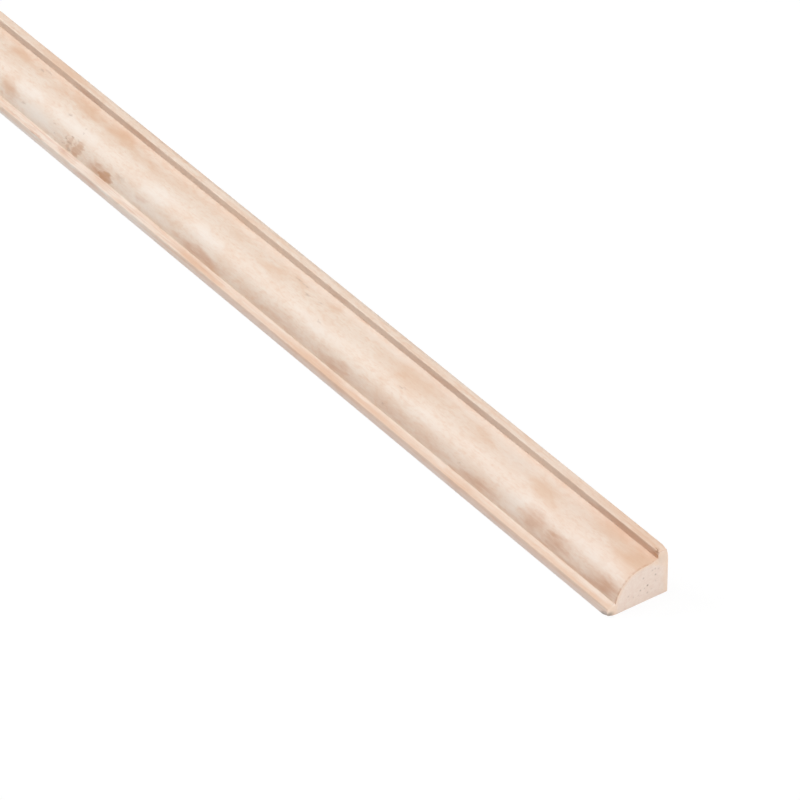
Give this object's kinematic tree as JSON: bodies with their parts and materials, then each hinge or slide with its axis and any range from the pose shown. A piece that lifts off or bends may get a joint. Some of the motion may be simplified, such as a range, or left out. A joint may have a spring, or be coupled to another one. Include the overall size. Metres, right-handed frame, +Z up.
{
  "type": "hardwood floor trim",
  "caption": "Long strip of light hardwood floor trim with a flat back and base, a stepped ledge, a convex quarter-round face and a low toe, for covering the joint of wall and floor.",
  "frame": {"origin": "middle of the strip's base, on the floor", "axes": "+X along the strip, +Y out of the flat back towards the wall, +Z up"},
  "size_m": [2.4, 0.021, 0.015],
  "materials": {
    "hardwood": "planed and sanded bare light hardwood, unvarnished"
  },
  "bodies": {
    "root": {"floor_trim": "hardwood"}
  },
  "joints": []
}
